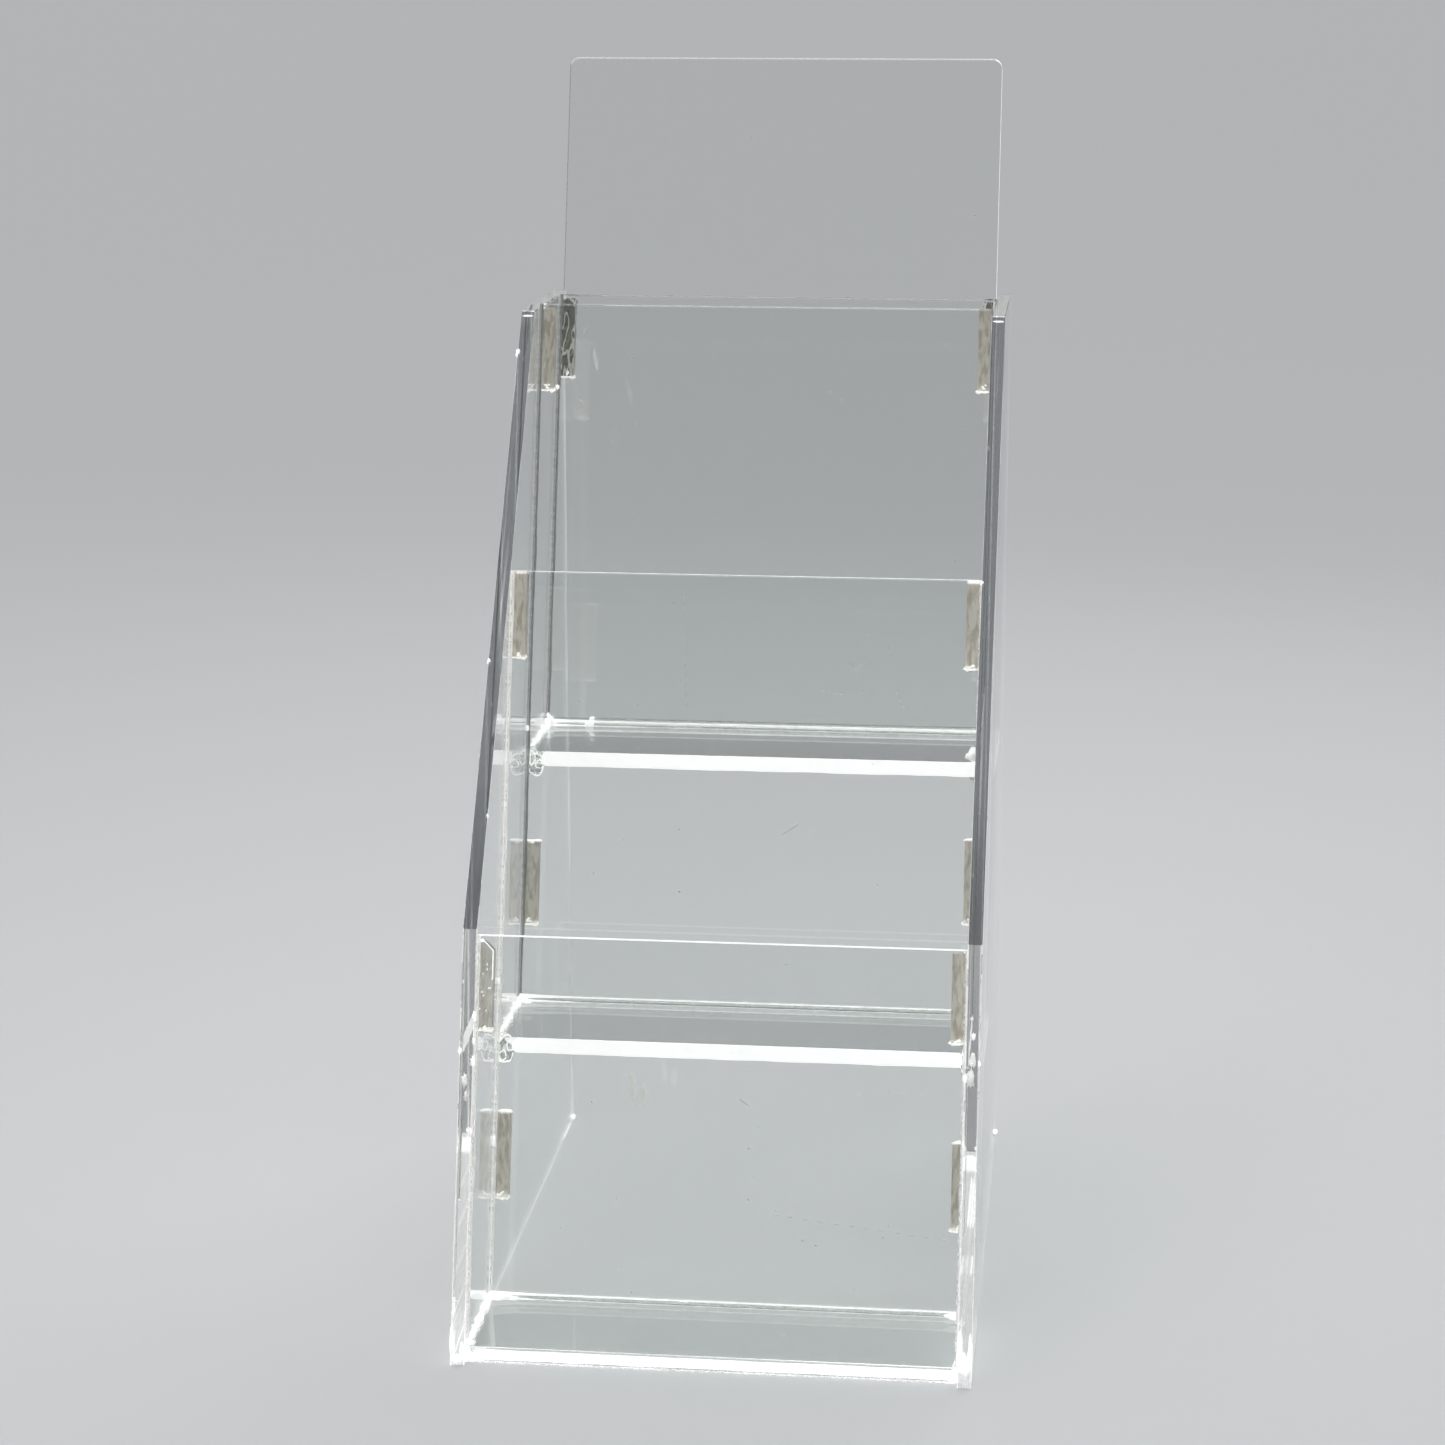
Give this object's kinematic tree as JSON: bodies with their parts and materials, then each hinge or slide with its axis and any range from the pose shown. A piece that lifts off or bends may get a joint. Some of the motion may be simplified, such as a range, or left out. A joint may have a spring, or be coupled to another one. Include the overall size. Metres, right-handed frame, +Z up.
{
  "type": "brochure rack",
  "caption": "Tabletop rack of clear acrylic sheet with stepped, leaning leaflet pockets and a loose header sheet that lifts out of a slot at the back.",
  "frame": {"origin": "middle of the rack's footprint, header included, on the surface it stands on", "axes": "+X to the right as seen from the front, +Y towards the back, +Z up"},
  "size_m": [0.108, 0.1624, 0.2608],
  "materials": {
    "clear_acrylic": "clear cast acrylic sheet, polished faces and flame-bright edges",
    "frosted_acrylic": "clear acrylic bar with sawn, frosted faces",
    "solvent_cement": "dried solvent cement, milky with fine bubbles"
  },
  "bodies": {
    "rack": {"side_left": "clear_acrylic", "side_right": "clear_acrylic", "pocket_front": "clear_acrylic", "divider_lower": "clear_acrylic", "divider_upper": "clear_acrylic", "back_panel": "clear_acrylic", "shelf_lower": "clear_acrylic", "shelf_middle": "clear_acrylic", "shelf_upper": "clear_acrylic", "bar_front_left": "frosted_acrylic", "bar_front_right": "frosted_acrylic", "bar_lower_left": "frosted_acrylic", "bar_lower_right": "frosted_acrylic", "bar_upper_left": "frosted_acrylic", "bar_upper_right": "frosted_acrylic", "bar_slot_left": "frosted_acrylic", "bar_slot_right": "frosted_acrylic", "bar_low_lower_left": "frosted_acrylic", "bar_low_lower_right": "frosted_acrylic", "bar_low_upper_left": "frosted_acrylic", "bar_low_upper_right": "frosted_acrylic"},
    "header": {"header_sheet": "clear_acrylic"}
  },
  "joints": [
    {"name": "header_lift", "type": "slide", "parent": "rack", "child": "header", "axis": [0, 0.2588, 0.9659], "range_m": [0, 0.105]}
  ]
}
